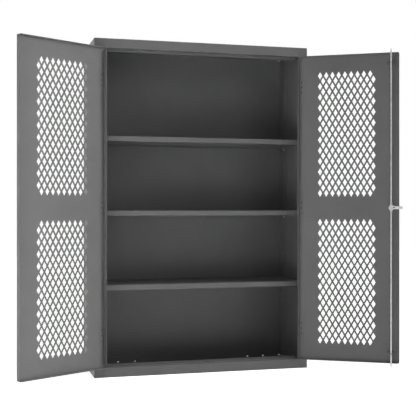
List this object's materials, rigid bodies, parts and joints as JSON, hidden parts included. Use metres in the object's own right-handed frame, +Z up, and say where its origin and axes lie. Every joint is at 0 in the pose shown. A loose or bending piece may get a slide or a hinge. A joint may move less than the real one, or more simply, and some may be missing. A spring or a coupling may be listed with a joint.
{
  "type": "ventilated cabinet",
  "caption": "Steel storage cabinet with diamond-punched pan doors, adjustable shelves and a locking lever that throws rods into the header and sill.",
  "frame": {"origin": "on the ground, in the middle of the carcass under its floor", "axes": "+X to the right as seen from the front, +Y to the back, +Z up; both doors stand open"},
  "size_m": [2.0783, 0.7788, 1.8288],
  "materials": {
    "grey_powder_coat": "satin grey powder coat on sheet steel",
    "zinc_plate": "bright zinc plate",
    "chrome_plate": "polished chrome plate"
  },
  "bodies": {
    "cabinet": {"left_side_panel": "grey_powder_coat", "right_side_panel": "grey_powder_coat", "back_panel": "grey_powder_coat", "roof_pan": "grey_powder_coat", "floor_pan": "grey_powder_coat", "header_rail": "grey_powder_coat", "sill_rail": "grey_powder_coat", "left_front_upright": "grey_powder_coat", "left_rear_upright": "grey_powder_coat", "right_front_upright": "grey_powder_coat", "right_rear_upright": "grey_powder_coat", "left_front_clip_1": "zinc_plate", "left_front_clip_2": "zinc_plate", "left_front_clip_3": "zinc_plate", "left_rear_clip_1": "zinc_plate", "left_rear_clip_2": "zinc_plate", "left_rear_clip_3": "zinc_plate", "right_front_clip_1": "zinc_plate", "right_front_clip_2": "zinc_plate", "right_front_clip_3": "zinc_plate", "right_rear_clip_1": "zinc_plate", "right_rear_clip_2": "zinc_plate", "right_rear_clip_3": "zinc_plate", "left_bottom_hinge_frame_leaf": "grey_powder_coat", "left_bottom_hinge_pin": "zinc_plate", "left_middle_hinge_frame_leaf": "grey_powder_coat", "left_middle_hinge_pin": "zinc_plate", "left_top_hinge_frame_leaf": "grey_powder_coat", "left_top_hinge_pin": "zinc_plate", "right_bottom_hinge_frame_leaf": "grey_powder_coat", "right_bottom_hinge_pin": "zinc_plate", "right_middle_hinge_frame_leaf": "grey_powder_coat", "right_middle_hinge_pin": "zinc_plate", "right_top_hinge_frame_leaf": "grey_powder_coat", "right_top_hinge_pin": "zinc_plate"},
    "left_door": {"left_door_pan": "grey_powder_coat", "left_bottom_hinge_door_leaf": "grey_powder_coat", "left_middle_hinge_door_leaf": "grey_powder_coat", "left_top_hinge_door_leaf": "grey_powder_coat"},
    "right_door": {"right_door_pan": "grey_powder_coat", "right_bottom_hinge_door_leaf": "grey_powder_coat", "right_middle_hinge_door_leaf": "grey_powder_coat", "right_top_hinge_door_leaf": "grey_powder_coat", "handle_rose": "chrome_plate", "latch_housing": "zinc_plate", "upper_rod_guide": "grey_powder_coat", "lower_rod_guide": "grey_powder_coat"},
    "handle": {"door_handle": "chrome_plate", "latch_spindle": "zinc_plate", "latch_cam": "zinc_plate", "latch_tongue": "zinc_plate", "spindle_nut": "zinc_plate"},
    "lock_plug": {"lock_plug": "chrome_plate"},
    "upper_rod": {"upper_rod": "zinc_plate"},
    "lower_rod": {"lower_rod": "zinc_plate"},
    "lower_shelf": {"lower_shelf": "grey_powder_coat"},
    "middle_shelf": {"middle_shelf": "grey_powder_coat"},
    "upper_shelf": {"upper_shelf": "grey_powder_coat"}
  },
  "joints": [
    {"name": "left_door_hinge", "type": "hinge", "parent": "cabinet", "child": "left_door", "pos_m": [-0.558, -0.2296, 0.9144], "axis": [0, 0, 1], "range_deg": [-25.3, 149.7]},
    {"name": "right_door_hinge", "type": "hinge", "parent": "cabinet", "child": "right_door", "pos_m": [0.558, -0.2296, 0.9144], "axis": [0, 0, 1], "range_deg": [-149.7, 25.3]},
    {"name": "handle_turn", "type": "hinge", "parent": "right_door", "child": "handle", "pos_m": [1.00705, -0.49201, 0.9144], "axis": [0.5045, 0.8634, 0], "range_deg": [0, 90]},
    {"name": "lock_turn", "type": "hinge", "parent": "handle", "child": "lock_plug", "pos_m": [1.00705, -0.49201, 0.9144], "axis": [0.5045, 0.8634, 0], "range_deg": [0, 90]},
    {"name": "upper_rod_pivot", "type": "hinge", "parent": "handle", "child": "upper_rod", "pos_m": [1.00705, -0.49201, 0.9384], "axis": [0.5045, 0.8634, 0], "range_deg": [-92, 0]},
    {"name": "lower_rod_pivot", "type": "hinge", "parent": "handle", "child": "lower_rod", "pos_m": [1.00705, -0.49201, 0.8904], "axis": [0.5045, 0.8634, 0], "range_deg": [-92, 0]},
    {"name": "lower_shelf_lift", "type": "slide", "parent": "cabinet", "child": "lower_shelf", "axis": [0, 0, 1], "range_m": [0, 0.06]},
    {"name": "middle_shelf_lift", "type": "slide", "parent": "cabinet", "child": "middle_shelf", "axis": [0, 0, 1], "range_m": [0, 0.06]},
    {"name": "upper_shelf_lift", "type": "slide", "parent": "cabinet", "child": "upper_shelf", "axis": [0, 0, 1], "range_m": [0, 0.06]}
  ],
  "couplings": [
    {"joint": "upper_rod_pivot", "follows": "handle_turn", "ratio": -1.02},
    {"joint": "lower_rod_pivot", "follows": "handle_turn", "ratio": -1.02}
  ]
}
